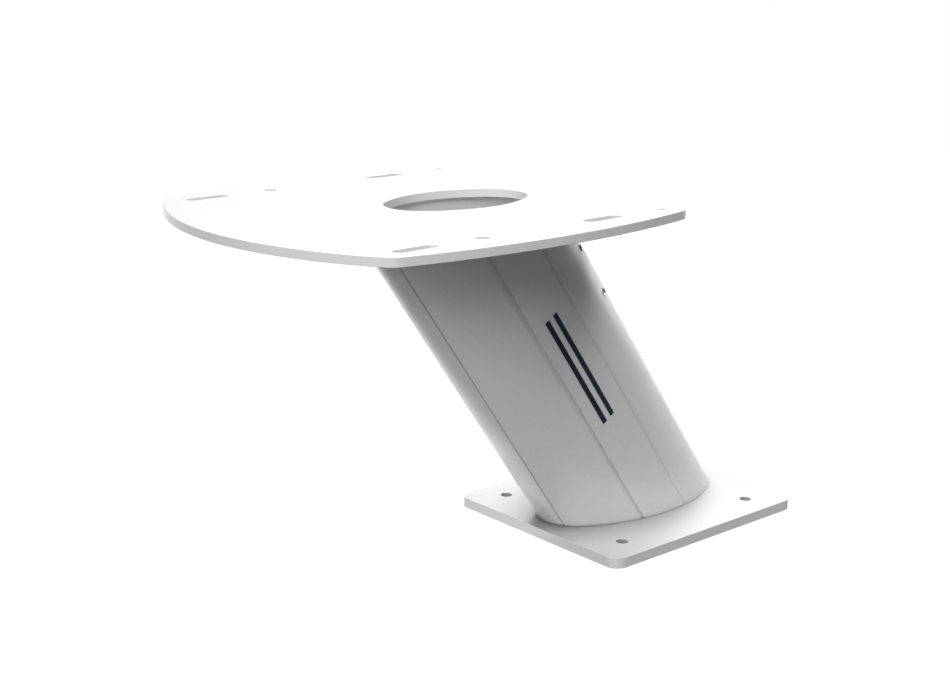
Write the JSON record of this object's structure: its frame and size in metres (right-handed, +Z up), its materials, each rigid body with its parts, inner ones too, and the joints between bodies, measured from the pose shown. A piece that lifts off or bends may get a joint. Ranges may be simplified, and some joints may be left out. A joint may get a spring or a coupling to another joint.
{
  "type": "radar dome mounting tower",
  "caption": "Raked hollow column between a rectangular base plate and a rounded slotted platform, which holds a small radar dome above a boat's deck and carries its cables inside.",
  "frame": {"origin": "centre of the base plate's underside, in the middle of its four bolt holes", "axes": "+Z up, square to both plates; +X is the way the column leans and the platform overhangs; +Y completes the right-handed frame"},
  "size_m": [0.4699, 0.288, 0.268],
  "materials": {
    "powder_coat": "white satin powder coat on aluminium",
    "coated_weld": "rippled fillet bead under the same white powder coat",
    "insert_metal": "plain stainless steel, turned",
    "stripe_film": "navy vinyl film, satin"
  },
  "bodies": {
    "root": {"base_plate": "powder_coat", "column": "powder_coat", "platform": "powder_coat", "base_weld": "coated_weld", "platform_weld": "coated_weld", "rivet_nuts": "insert_metal", "side_stripes": "stripe_film"}
  },
  "joints": []
}
